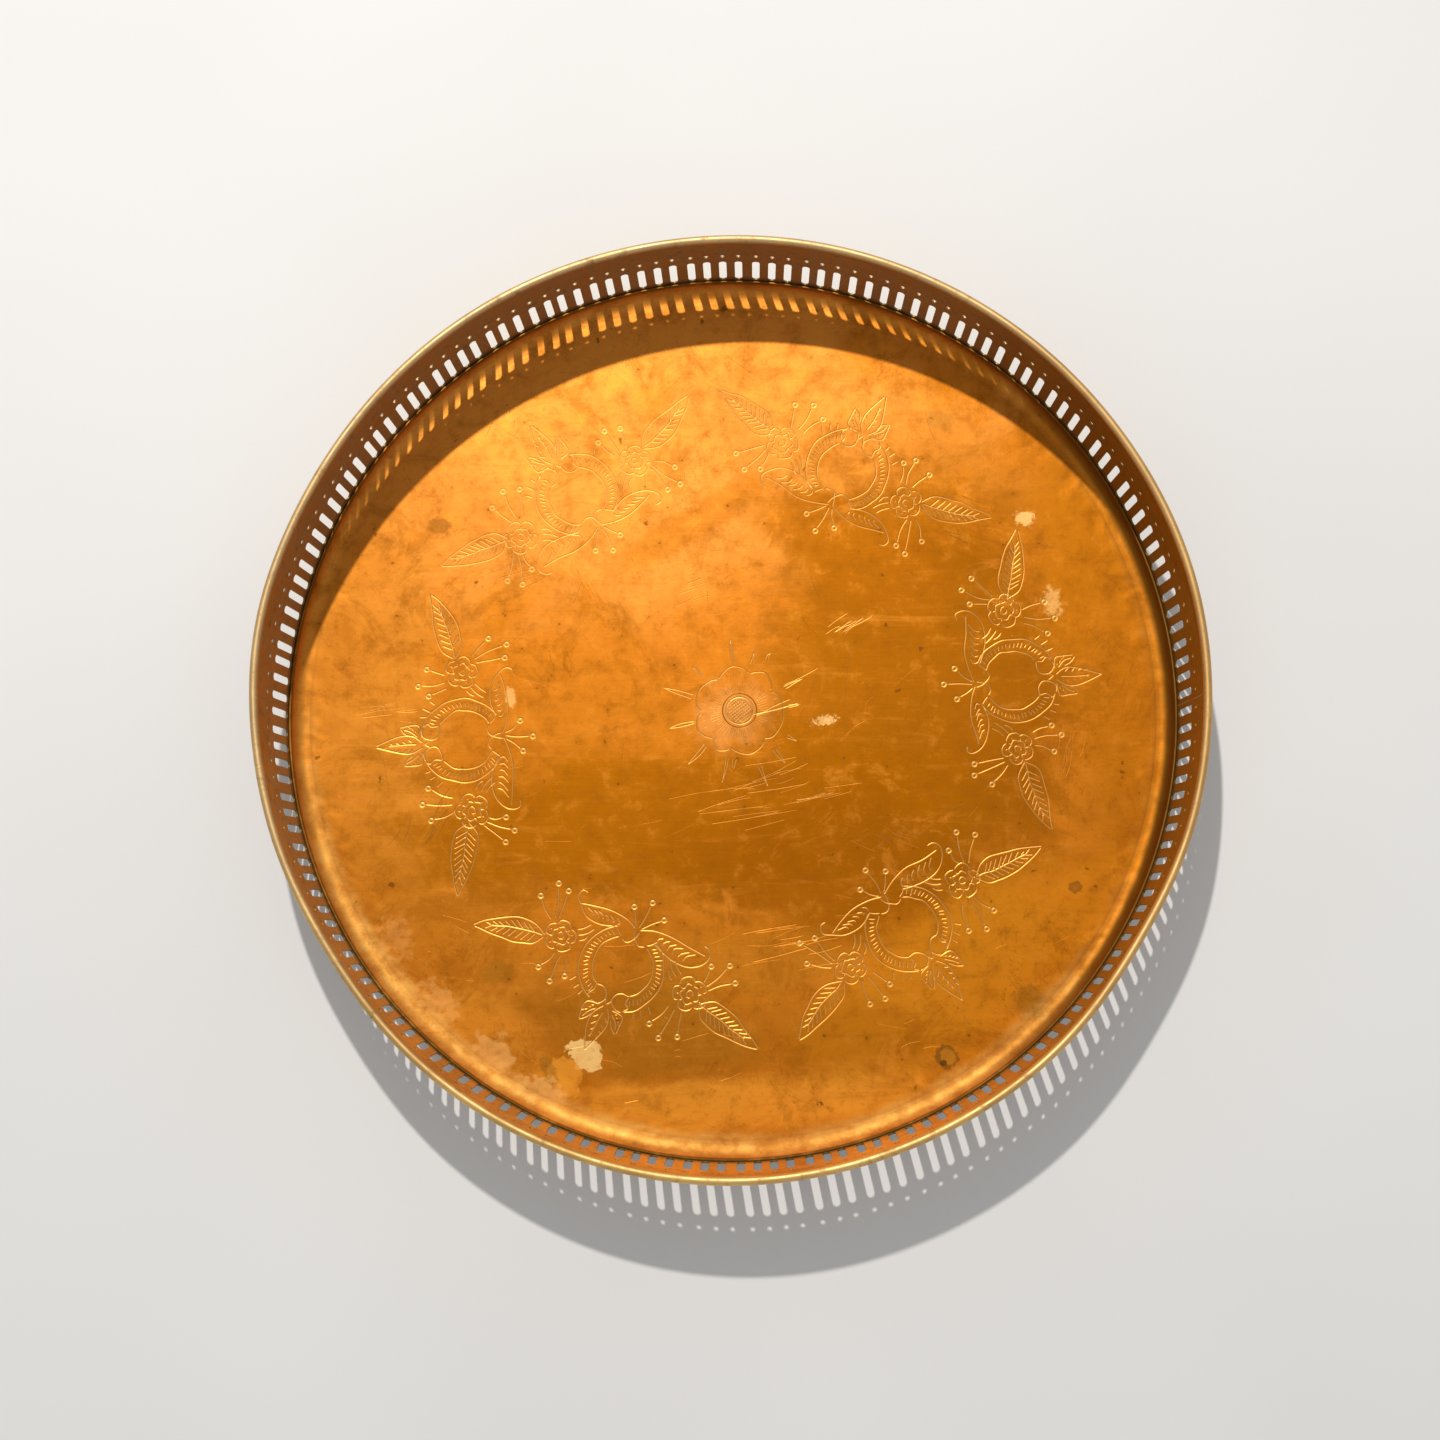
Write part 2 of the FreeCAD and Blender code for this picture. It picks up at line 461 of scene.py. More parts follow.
def engrave_disc():
    """The flower's middle: two rings, the outer one dark with dirt and painted shade, and a crosshatch."""
    cx, cy = FLOWER_MIDDLE
    cut(circle(FLOWER_MIDDLE, FLOWER_DISC), half=0.5, closed=True)
    cut(circle(FLOWER_MIDDLE, FLOWER_DISC + 1.7), half=0.35, bright=-0.7, closed=True)
    for slant in (38, 128):
        a = radians(slant)
        for k in range(-4, 5):
            off = k * HATCH_PITCH
            reach = sqrt(max(FLOWER_DISC ** 2 - off * off, 0)) - 0.8
            middle = (cx - off * sin(a), cy + off * cos(a))
            ends = [polar(middle, s * reach, a) for s in (-1, 1)]
            cut(resample(shaky(ends, 0.15)), half=0.3, depth=0.12, bright=0.8)


def engrave_petal(start, span):
    """One petal: its scalloped edge, long cuts from the disc and short ones from the edge."""
    def hair(angle, near, far, bright):
        line = shaky([by_flower(angle, near), by_flower(angle, far)], 0.15)
        cut(resample(line), half=0.2, depth=0.06, bright=bright)

    edge = [by_flower(start + span * share, distance) for share, distance in PETAL_EDGE]
    cut(curve(shaky(edge, 0.3)))
    count = round(span / 5.5)
    for s in range(count):
        a = start + span * (s + 0.5) / count
        hair(a, 9.2, hand.uniform(12.5, 16.5), 0.6)
        if s % 2 == 0:
            hair(a, hand.uniform(17.0, 18.5), 20.4, 0.5)


def engrave_flower():
    """Big flower in the middle of the tray, seven petals round a crosshatched disc, with rays."""
    engrave_disc()
    for start, end in zip(FLOWER_NOTCHES, FLOWER_NOTCHES[1:] + FLOWER_NOTCHES[:1]):
        engrave_petal(start, (end - start) % 360)
    for angle, start, end in RAYS:
        for side in (-1.1, 1.1):
            line = [by_flower(angle + side * 1.6, start), by_flower(angle + side, (start + end) / 2),
                    by_flower(angle, end)]
            cut(curve(shaky(line, 0.25)), half=0.34, depth=0.1)


LONG_SCRATCHES = (  # start, end, half width, brightness
    ((11, -3), (34, 3), 0.45, 1.1),
    ((12, -4), (30, 5), 0.3, 0.8),
    ((26, 12), (44, 21), 0.3, 0.7),
    ((56, -30), (60, 34), 0.16, 0.35),
)
BUNDLES = (  # middle x and y, direction in degrees, length, spread, count, brightness
    (60, 43, 30, 26, 5, 12, 0.95),
    (22, -38, 15, 54, 12, 11, 0.55),
    (40, -42, 14, 36, 8, 7, 0.6),
    (2, -52, 11, 60, 10, 10, 0.45),
    (-176, 0, 8, 30, 7, 9, 0.5),
    (-104, 68, 24, 34, 12, 9, 0.32),
    (-20, 62, 22, 30, 14, 9, 0.3),
    (76, -66, -30, 30, 10, 10, 0.35),
    (30, -118, 12, 50, 14, 12, 0.3),
    (-150, -60, 60, 30, 14, 10, 0.3),
    (120, 96, -20, 26, 12, 9, 0.28),
    (-64, -196, 14, 26, 4, 9, 0.45),
    (166, -20, 78, 34, 9, 9, 0.3),
)
STRAY_SCRATCHES = 190
STRAY_STROKE = 0.13  # half width
SCRATCHED_RADIUS = 205.0


def scratch(start, end, half, bright):
    """One slightly bent scratch, left out where it would run off the flat floor."""
    if max(hypot(*start), hypot(*end)) > SCRATCHED_RADIUS:
        return
    middle = between(start, end, 0.5)
    bent = (middle[0] + hand.gauss(0, 0.5), middle[1] + hand.gauss(0, 0.5))
    cut(curve([start, bent, end]), half=half, depth=half * 0.3, bright=bright)


def engrave_scratches():
    for start, end, half, bright in LONG_SCRATCHES:
        scratch(start, end, half, bright)
    for x, y, direction, length, spread, count, bright in BUNDLES:
        for _ in range(count):
            turn = radians(direction + hand.gauss(0, 5))
            reach = length * hand.uniform(0.25, 0.6)
            middle = (x + hand.gauss(0, length * 0.22), y + hand.gauss(0, spread * 0.5))
            start, end = (polar(middle, s * reach / 2, turn) for s in (-1, 1))
            scratch(start, end, hand.uniform(0.15, 0.34), bright * hand.uniform(0.5, 1.1))
    for _ in range(STRAY_SCRATCHES):
        around = hand.uniform(0, 2 * pi)
        out = SCRATCHED_RADIUS * sqrt(hand.random())
        turn = radians(hand.gauss(18, 50))
        length = hand.uniform(3, 18)
        start = polar(MIDDLE, out, around)
        scratch(start, polar(start, length, turn), STRAY_STROKE, hand.uniform(0.1, 0.4))


# -------- the floor, cut by the strokes

NO_CUT = 1e-4  # shallower than this, a point isn't in a stroke
FLOOR_EDGE = 211.6  # where the engraved floor meets the turned rim of the pan
FLOOR_RINGS = 14  # rings of loose points that keep the floor's triangles small


def ribbon(points, half, closed):
    """Left and right edges of a stroke; an open stroke tapers to a point at both ends."""
    n = len(points)
    left, right, widths = [], [], []
    for k, (x, y) in enumerate(points):
        before = points[k - 1] if closed or k > 0 else points[k]
        after = points[(k + 1) % n] if closed or k + 1 < n else points[k]
        dx, dy = after[0] - before[0], after[1] - before[1]
        size = hypot(dx, dy) or 1.0
        width = half if closed or 0 < k < n - 1 else 0.0
        left.append((x - dy / size * width, y + dx / size * width))
        right.append((x + dy / size * width, y - dx / size * width))
        widths.append(width)
    return left, right, widths


def straight_pieces():
    """The strokes' straight pieces: both ends, half width at each, slope of the groove, brightness."""
    pieces = []
    for points, half, depth, bright, closed in strokes:
        n = len(points)
        widths = ribbon(points, half, closed)[2]
        for k in range(n if closed else n - 1):
            j = (k + 1) % n
            pieces.append((points[k], points[j], widths[k], widths[j], depth / half, bright))
    return pieces


def depth_finder():
    """Function that gives the cut's depth and brightness at a point of the floor."""
    segments = straight_pieces()
    tree = KDTree(len(segments))
    reach = 0.0
    for index, (a, b, *_rest) in enumerate(segments):
        tree.insert(((a[0] + b[0]) / 2, (a[1] + b[1]) / 2, 0.0), index)
        reach = max(reach, hypot(b[0] - a[0], b[1] - a[1]) / 2)
    tree.balance()
    widest = max(s[1] for s in strokes)

    def find(x, y):
        deepest, shine = 0.0, 0.0
        for _spot, index, _far in tree.find_range((x, y, 0.0), reach + widest):
            a, b, width_a, width_b, slope, bright = segments[index]
            dx, dy = b[0] - a[0], b[1] - a[1]
            t = ((x - a[0]) * dx + (y - a[1]) * dy) / (dx * dx + dy * dy)
            t = min(max(t, 0.0), 1.0)
            width = width_a + (width_b - width_a) * t
            inside = width - hypot(x - a[0] - dx * t, y - a[1] - dy * t)
            deepest = max(deepest, inside * slope)
            if inside > NO_CUT:
                shade = bright * min(inside / width * 1.6, 1.0)
                shine = max(shine, shade, key=abs)
        return deepest, shine

    return find


def loose_points():
    """Rings of points between the floor's middle and its edge."""
    points = []
    for ring in range(1, FLOOR_RINGS):
        radius = FLOOR_EDGE * ring / FLOOR_RINGS
        count = 8 * ring
        points += [polar(MIDDLE, radius, 2 * pi * (k + 0.5 * (ring % 2)) / count) for k in range(count)]
    return points


def cut_floor():
    """Vertices, triangles and brightness of the floor with every stroke cut into it as a V groove."""
    points, edges = [], []

    def chain(line, closed):
        first = len(points)
        points.extend(line)
        count = len(line)
        for k in range(count if closed else count - 1):
            edges.append((first + k, first + (k + 1) % count))

    chain(circle(MIDDLE, FLOOR_EDGE, ROUND_STEPS), True)
    for line, half, _depth, _bright, closed in strokes:
        left, right, _widths = ribbon(line, half, closed)
        for side in (left, line, right):
            chain(side, closed)
    points.extend(loose_points())
    found = delaunay_2d_cdt([Vector(p) for p in points], edges, [], 0, 1e-3, False)
    depth = depth_finder()
    vertices, shines = [], []
    for p in found[0]:
        deep, shine = depth(p.x, p.y)
        vertices.append((p.x, p.y, PAN_SHEET - deep))
        shines.append(shine)
    return vertices, [tuple(f) for f in found[2]], shines


TURNED_LINE_IN = 0.8  # the fine turned line, in from the cove
TURNED_LINE_DEPTH = 0.07


def pan_section():
    """Section of the pan from its floor's edge up the cove, over the lip and back under it."""
    outer = COVE_RADIUS + PAN_SHEET
    height = PAN_SHEET + COVE_RADIUS
    radius = cone_radius(height - outer * sin(WALL_FLARE)) - outer * cos(WALL_FLARE)
    flare = degrees(WALL_FLARE)
    up = (sin(WALL_FLARE), cos(WALL_FLARE))
    inner = arc_points((radius, height), COVE_RADIUS, -90, -flare, 10)
    outside = arc_points((radius, height), outer, -flare, -90, 10)
    rise = (UPSTAND_TOP - outside[0][1]) / up[1]
    crown = (outside[0][0] + up[0] * rise - PAN_SHEET / 2, UPSTAND_TOP - PAN_SHEET * 0.32)
    lip = [(crown[0] + PAN_SHEET * 0.5 * cos(radians(a)), crown[1] + PAN_SHEET * 0.32 * sin(radians(a)))
           for a in (180, 135, 90, 45, 0)]
    at = radius - TURNED_LINE_IN
    turned = [(at - 0.5, PAN_SHEET), (at, PAN_SHEET - TURNED_LINE_DEPTH), (at + 0.5, PAN_SHEET)]
    return [(FLOOR_EDGE, PAN_SHEET)] + turned + inner + lip + outside


def floor_rim(vertices):
    """The points on the floor's edge, by their place round the tray."""
    rim = {}
    for index, (x, y, _z) in enumerate(vertices):
        if hypot(x, y) > FLOOR_EDGE - 0.05:
            rim[round(degrees(atan2(y, x)) * ROUND_STEPS / 360) % ROUND_STEPS] = index
    return rim


def turn_up_edge(vertices, faces):
    """Add the cove, the lip and the underside to the floor."""
    rim = floor_rim(vertices)
    section = pan_section()
    rings = []
    for k in range(ROUND_STEPS):
        a = 2 * pi * k / ROUND_STEPS
        ring = [rim[k]]
        for r, z in section[1:]:
            ring.append(len(vertices))
            vertices.append((r * cos(a), r * sin(a), z))
        rings.append(ring)
    pairs = list(zip(rings, rings[1:] + rings[:1]))
    for here, there in pairs:
        for i in range(len(section) - 1):
            faces.append((here[i], there[i], there[i + 1], here[i + 1]))
    under = len(vertices)
    vertices.append((0.0, 0.0, 0.0))
    faces.extend((here[-1], there[-1], under) for here, there in pairs)


def build_pan():
    """Pan in one mesh: the cut floor, the turned cove and lip, and the flat underside."""
    engrave_wreaths()
    engrave_flower()
    engrave_scratches()
    vertices, faces, shines = cut_floor()
    cut_faces = len(faces)
    turn_up_edge(vertices, faces)
    pan = new_object("engraved_pan", vertices, faces, radians(40))
    polygons = pan.data.polygons
    polygons.foreach_set("use_smooth", [index >= cut_faces for index in range(len(polygons))])
    carry(pan, "engraved", shines + [0.0] * (len(vertices) - len(shines)))
    return pan


# -------- the pierced gallery

SIDE_STEPS = 3
CAP_STEPS = 6
EDGE_ROLL = 0.16  # how far the punch rounded the edges of its holes


def slot_outline(grow):
    """Points round a slot's edge, from its lower right, as (sideways, height)."""
    half = SLOT_WIDTH / 2
    low, high = SLOT_BOTTOM + half, SLOT_TOP - half
    r = half + grow
    right = [(r, low + (high - low) * k / SIDE_STEPS) for k in range(SIDE_STEPS + 1)]
    top = [polar((0.0, high), r, pi * k / CAP_STEPS) for k in range(1, CAP_STEPS)]
    left = [(-x, z) for x, z in reversed(right)]
    bottom = [polar((0.0, low), -r, pi * k / CAP_STEPS) for k in range(1, CAP_STEPS)]
    return right + top + left + bottom


def dot_outline(grow):
    turns = []
    for corner, steps in ((-45, SIDE_STEPS), (45, CAP_STEPS), (135, SIDE_STEPS), (225, CAP_STEPS)):
        turns += [radians(corner + 90 * k / steps) for k in range(steps)]
    return [polar((0.0, DOT_HEIGHT), DOT_RADIUS + grow, turn) for turn in turns]


def frame_outline(low, high):
    """Points round a cell's edge as (share of the cell's width from -1 to 1, height)."""
    right = [(1.0, low + (high - low) * k / SIDE_STEPS) for k in range(SIDE_STEPS + 1)]
    top = [(1 - 2 * k / CAP_STEPS, high) for k in range(1, CAP_STEPS)]
    left = [(-1.0, z) for _x, z in reversed(right)]
    bottom = [(-x, low) for x, _z in top]
    return right + top + left + bottom


class Sheet:
    """Bent sheet with two faces, made of points given by angle and height."""

    def __init__(self):
        self.vertices = []
        self.faces = []
        self.known = {}
        self.outer = []  # 1 for a point on the outside face, 0 on the inside

    def point(self, angle, height, side, sink=0.0):
        key = (round(angle, 5), round(height, 4), side, sink)
        if key not in self.known:
            radius = strip_mid(height) + side * (STRIP_SHEET / 2 - sink)
            self.known[key] = len(self.vertices)
            self.vertices.append(handled(radius, angle, height))
            self.outer.append(float(side > 0))
        return self.known[key]

    def both(self, corners):
        """A face on each side of the sheet through the same (angle, height, sink) corners."""
        for side in (1, -1):
            face = [self.point(a, z, side, sink) for a, z, sink in corners]
            self.faces.append(tuple(face[::side]))

    def edge(self, a, b, sink=0.0):
        """A face across the sheet's thickness between two (angle, height) points."""
        corners = ((a, 1), (b, 1), (b, -1), (a, -1))
        self.faces.append(tuple(self.point(*at, side, sink) for at, side in corners))


def to_angle(sideways, height):
    return degrees(sideways / strip_mid(height))


def pierce(sheet, middle, left, right, outline, frame_line):
    """Ring of faces between a hole's rolled edge and the frame of its cell, then the hole's wall."""
    def framed(point):
        share, height = point
        return (left + (right - left) * (share + 1) / 2, height, 0.0)

    def holed(point, sink):
        sideways, height = point
        return (middle + to_angle(sideways, height), height, sink)

    outer = [framed(p) for p in frame_line]
    lip = [holed(p, 0.0) for p in outline(EDGE_ROLL)]
    edge = [holed(p, EDGE_ROLL) for p in outline(0.0)]
    count = len(outer)
    for k in range(count):
        j = (k + 1) % count
        sheet.both([outer[k], outer[j], lip[j], lip[k]])
        sheet.both([lip[k], lip[j], edge[j], edge[k]])
        sheet.edge(edge[k][:2], edge[j][:2], EDGE_ROLL)


SLOT_FRAME = (SLOT_BOTTOM - 1.2, SLOT_TOP + 2.2)
DOT_FRAME = (SLOT_FRAME[1], DOT_HEIGHT + 2.6)
LOW_ROWS = [STRIP_FOOT, STRIP_FOOT + 1.8, SLOT_FRAME[0]]
HIGH_ROWS = [DOT_FRAME[1], STRIP_BEND + 2.0, 45.0, 50.0, SLIT, STRIP_TOP]
SLOT_RUN = 3.4  # slots in a run
SLOT_SLIP = 0.26  # degrees by which a run is closed up


def slot_angles():
    """Where the slots were punched, in degrees: short runs set close, with wider gaps between."""
    pitch = 360.0 / SLOT_COUNT
    marking = random.Random(3)
    angles = []
    for k in range(SLOT_COUNT):
        run = (k / SLOT_RUN) % 1.0
        angles.append((k + 0.5) * pitch - SLOT_SLIP * (run - 0.5) + marking.gauss(0, 0.05))
    return angles


def plain_rows(sheet, columns, rows):
    """The sheet's unpierced faces over one cell's width."""
    for z0, z1 in zip(rows, rows[1:]):
        for a, b in zip(columns, columns[1:]):
            sheet.both([(a, z0, 0.0), (b, z0, 0.0), (b, z1, 0.0), (a, z1, 0.0)])


def close_ends(sheet, first, last):
    """Faces across the sheet's thickness at the strip's two ends."""
    levels = LOW_ROWS[:-1] + [z for _share, z in frame_outline(*SLOT_FRAME)[:SIDE_STEPS + 1]]
    levels += [z for _share, z in frame_outline(*DOT_FRAME)[1:SIDE_STEPS + 1]] + HIGH_ROWS[1:]
    for z0, z1 in zip(levels, levels[1:]):
        sheet.edge((first, z0), (first, z1))
        sheet.edge((last, z1), (last, z0))


def build_strip(name, first, angles):
    """Half of the gallery, from one joint to the other."""
    sheet = Sheet()
    bounds = [first + JOINT_TRIM]
    bounds += [(a + b) / 2 for a, b in zip(angles, angles[1:])]
    bounds.append(first + 180.0 - JOINT_TRIM)
    for middle, left, right in zip(angles, bounds, bounds[1:]):
        columns = [left + (right - left) * c / CAP_STEPS for c in range(CAP_STEPS + 1)]
        plain_rows(sheet, columns, LOW_ROWS)
        plain_rows(sheet, columns, HIGH_ROWS)
        pierce(sheet, middle, left, right, slot_outline, frame_outline(*SLOT_FRAME))
        pierce(sheet, middle, left, right, dot_outline, frame_outline(*DOT_FRAME))
        for a, b in zip(columns, columns[1:]):
            sheet.edge((b, STRIP_FOOT), (a, STRIP_FOOT))
            sheet.edge((a, STRIP_TOP), (b, STRIP_TOP))
    close_ends(sheet, bounds[0], bounds[-1])
    strip = new_object(name, sheet.vertices, sheet.faces, radians(35))
    carry(strip, "outer", sheet.outer)
    return strip


# -------- rim and solder

def build_bead():
    """Slit tube over the gallery's top edge, a little uneven where it was tapped down."""
    half = STRIP_ACROSS / 2
    outer_end = degrees(asin(half / BEAD_RADIUS))
    bore_end = degrees(asin(half / WIRE_BORE))
    centre = (BEAD_MID, RIM_HEIGHT)
    section = arc_points(centre, BEAD_RADIUS, -90 + outer_end, 270 - outer_end, 22)
    section += arc_points(centre, WIRE_BORE, 270 - bore_end, -90 + bore_end, 14)
    return new_object("rim_bead_rolled", *revolve(section), radians(50))


def build_wire():
    section = arc_points((BEAD_MID, RIM_HEIGHT), WIRE_RADIUS, 0, 337.5, 15)
    return new_object("rim_wire_core", *revolve(section), radians(50))


def build_joint_solder():
    """The two upright seams between the strips, proud of the sheet by a hair."""
    heights = [STRIP_FOOT, 15.0, 27.0, STRIP_BEND, 48.0, SLIT, STRIP_TOP]
    proud = STRIP_ACROSS / 2
    section = [(strip_mid(z) + proud, z) for z in heights]
    section += [(strip_mid(z) - proud, z) for z in reversed(heights)]
    vertices, faces = [], []
    for side in (0.0, 180.0):
        more, cells = revolve(section, side - JOINT_TRIM, 2 * JOINT_TRIM, 2)
        faces += [tuple(i + len(vertices) for i in cell) for cell in cells]
        vertices += more
    return new_object("gallery_joint_seams", vertices, faces, radians(50))


# -------- materials

class Shader:
    """One material and a short way to write its nodes."""

    def __init__(self, name):
        self.material = bpy.data.materials.new(name)
        self.material.use_nodes = True
        self.tree = self.material.node_tree
        self.surface = next(n for n in self.tree.nodes if n.type == "BSDF_PRINCIPLED")
        self.place = self.node("ShaderNodeTexCoord").outputs["Object"]

    def node(self, kind, inputs=None, **settings):
        node = self.tree.nodes.new(kind)
        for key, value in settings.items():
            setattr(node, key, value)
        for key, value in (inputs or {}).items():
            self.feed(node.inputs[key], value)
        return node

    def feed(self, socket, value):
        """Link a socket, or set its value: a colour is given without its alpha."""
        if isinstance(value, bpy.types.NodeSocket):
            self.tree.links.new(value, socket)
        else:
            socket.default_value = (*value, 1) if socket.type == "RGBA" else value

    def noise(self, scale, detail=4, rough=0.55, distortion=0, vector=None):
        return self.node("ShaderNodeTexNoise", {
            "Vector": vector or self.place, "Scale": scale, "Detail": detail,
            "Roughness": rough, "Distortion": distortion,
        }).outputs["Fac"]

    def math(self, operation, a, b=0, clamp=False):
        return self.node("ShaderNodeMath", {0: a, 1: b}, operation=operation, use_clamp=clamp).outputs[0]

    def times(self, a, b):
        return self.math("MULTIPLY", a, b)

    def centred(self, value):
        """The value less a half, so that noise swings either way."""
        return self.math("SUBTRACT", value, 0.5)

    def span(self, value, low, high, to_low=0, to_high=1):
        """The value's place between low and high, eased and kept between the two results."""
        return self.node("ShaderNodeMapRange", {
            "Value": value, "From Min": low, "From Max": high, "To Min": to_low, "To Max": to_high,
        }, interpolation_type="SMOOTHSTEP").outputs["Result"]

    def mix(self, share, a, b):
        node = self.node("ShaderNodeMix", {"Factor": share, "A": a, "B": b}, data_type="RGBA")
        return node.outputs["Result"]

    def tinted(self, colour, tint, strength, value, low, high):
        """The colour, turned towards a tint as the value goes from low to high."""
        return self.mix(self.span(value, low, high, 0, strength), colour, tint)

    def stretched(self, sx, sy, sz, turn=0):
        return self.node("ShaderNodeMapping", {
            "Vector": self.place, "Scale": (sx, sy, sz), "Rotation": (0, 0, radians(turn)),
        }).outputs["Vector"]

    def bump(self, height, strength, distance, normal=None):
        inputs = {"Height": height, "Strength": strength, "Distance": distance * MM}
        if normal:
            inputs["Normal"] = normal
        return self.node("ShaderNodeBump", inputs).outputs["Normal"]

    def far(self, vector):
        """Distance from the middle, seen from above."""
        flat = self.node("ShaderNodeVectorMath", {0: vector, 1: (1, 1, 0)}, operation="MULTIPLY")
        return self.node("ShaderNodeVectorMath", {0: flat.outputs[0]}, operation="LENGTH").outputs["Value"]

    def blob(self, oval, ragged, soft, wander=None):
        """1 inside an uneven oval patch, 0 outside. Oval: x, y, two radii in mm, and turn."""
        x, y, rx, ry, turn = oval
        moved = self.node("ShaderNodeMapping", {
            "Vector": self.place, "Location": (x * MM, y * MM, 0), "Rotation": (0, 0, radians(turn)),
            "Scale": (rx * MM, ry * MM, 1),
        }, vector_type="TEXTURE").outputs["Vector"]
        wander = wander or self.noise(1.6 / (min(rx, ry) * MM), 3)
        uneven = self.math("ADD", self.far(moved), self.times(self.centred(wander), ragged * 2))
        return self.span(uneven, 1 + soft / 2, 1 - soft / 2)

    def axis(self, name, vector=None):
        return self.node("ShaderNodeSeparateXYZ", {"Vector": vector or self.place}).outputs[name]

    def painted(self, name):
        """The number that a mesh's points carry, or 0."""
        return self.node("ShaderNodeAttribute", attribute_name=name).outputs["Fac"]

    def finish(self, *values):
        for name, value in zip(("Base Color", "Roughness", "Metallic", "Normal"), values):
            self.feed(self.surface.inputs[name], value)
        return self.material


TONES = (  # broad patches of the floor: x, y, radii, turn, tint, strength
    (-60, 140, 190, 95, 8, (0.71, 0.268, 0.04), 0.88),
    (-190, -10, 45, 110, 0, (0.66, 0.245, 0.026), 0.75),
    (-150, -110, 60, 60, 0, (0.58, 0.2, 0.016), 0.6),
    (10, 30, 60, 36, 20, (0.6, 0.19, 0.014), 0.55),
    (104, 10, 72, 118, 12, (0.38, 0.118, 0.003), 0.92),
    (-5, -52, 150, 34, 8, (0.4, 0.124, 0.002), 0.88),
    (55, -82, 75, 34, -8, (0.37, 0.11, 0.002), 0.85),
    (62, 82, 56, 20, -28, (0.42, 0.128, 0.004), 0.85),
    (-20, 96, 46, 9, 32, (0.5, 0.155, 0.008), 0.6),
    (190, 30, 28, 110, 8, (0.56, 0.185, 0.007), 0.75),
    (118, -130, 80, 36, 30, (0.7, 0.25, 0.012), 0.85),
    (10, -128, 45, 16, 5, (0.56, 0.205, 0.014), 0.55),
    (-45, -160, 60, 24, -8, (0.44, 0.155, 0.01), 0.8),
    (62, -166, 40, 20, 12, (0.51, 0.17, 0.007), 0.7),
    # the next patch is a painted highlight: the bright band along the cove's near edge
    (-30, -199, 120, 13, 5, (0.88, 0.35, 0.034), 0.8),
    (-120, -165, 40, 18, -40, (0.72, 0.275, 0.026), 0.7),
)
TONE_EDGE = (1.1, 0.6)  # how ragged and how soft every tone's edge is

STAINS = (  # single marks: x, y, radii, turn, ragged, softness, colour, strength
    (-44, 160, 7, 10, 20, 0.5, 0.3, (0.86, 0.235, 0.025), 0.55),
    (-150, 95, 6, 4, 0, 0.5, 0.4, (0.34, 0.125, 0.015), 0.65),
    (107, 150, 7, 5, 0, 0.6, 0.5, (0.46, 0.19, 0.025), 0.5),
    (150, 98, 4.5, 4, 30, 1.2, 0.7, (0.95, 0.58, 0.2), 0.75),
    (163, 54, 4, 7, 10, 1.5, 0.9, (0.92, 0.54, 0.17), 0.6),
    (171, -90, 3.5, 3, 0, 0.5, 0.3, (0.26, 0.095, 0.012), 0.7),
    (106, -173, 5.5, 6.5, 20, 0.45, 0.2, (0.24, 0.095, 0.012), 0.8),
    (106.5, -173, 3.6, 4.2, 20, 0.5, 0.3, (0.56, 0.22, 0.02), 0.85),
    (104, -176, 1.8, 1.6, 0, 0.4, 0.3, (0.1, 0.045, 0.01), 0.8),
    (148, -147, 9, 8, 0, 0.6, 0.7, (0.3, 0.13, 0.014), 0.5),
    (-72, -172, 9.5, 7, -30, 0.6, 0.1, (0.96, 0.62, 0.22), 0.9),
    (-82, -183, 8, 10, 20, 0.5, 0.15, (0.84, 0.34, 0.035), 0.8),
    (-90, -180, 3, 9, 25, 0.6, 0.3, (0.34, 0.145, 0.018), 0.5),
    (47, -6, 5, 2.2, 8, 1.8, 0.9, (0.95, 0.58, 0.2), 0.75),
    (0, -3, 18, 15, 0, 1, 1, (0.8, 0.36, 0.1), 0.38),
    (-112, 6, 2.5, 5, 10, 0.6, 0.4, (0.95, 0.56, 0.18), 0.6),
    (-116, -132, 8, 6, 0, 0.6, 0.7, (0.3, 0.125, 0.012), 0.4),
    (6, 176, 7, 12, 10, 0.7, 0.3, (0.58, 0.235, 0.03), 0.4),
    # the last four: pale blotches beside the cove, partly stains and partly painted highlight spreading from
    # it
    (-118, -172, 11, 8, -30, 1.2, 0.6, (0.96, 0.54, 0.17), 0.5),
    (-94, -190, 12, 6, -20, 1.3, 0.6, (0.96, 0.56, 0.19), 0.5),
    (-146, -146, 11, 7, -50, 1.3, 0.7, (0.92, 0.48, 0.14), 0.4),
    (-168, -114, 10, 7, -60, 1.4, 0.8, (0.88, 0.43, 0.11), 0.35),
)

# Colours of the floor
DEEP_BRASS, WARM_BRASS = (0.54, 0.172, 0.01), (0.63, 0.208, 0.014)
DARK_BLOTCH, PALE_BLOTCH = (0.36, 0.11, 0.004), (0.8, 0.29, 0.034)
DARK_STREAK, PALE_STREAK = (0.4, 0.13, 0.006), (0.78, 0.29, 0.03)
DARK_MOTTLE, PALE_MOTTLE = (0.34, 0.11, 0.005), (0.8, 0.3, 0.032)
VEIN, GRAIN, SPECK = (0.3, 0.085, 0.004), (0.3, 0.1, 0.006), (0.16, 0.055, 0.006)
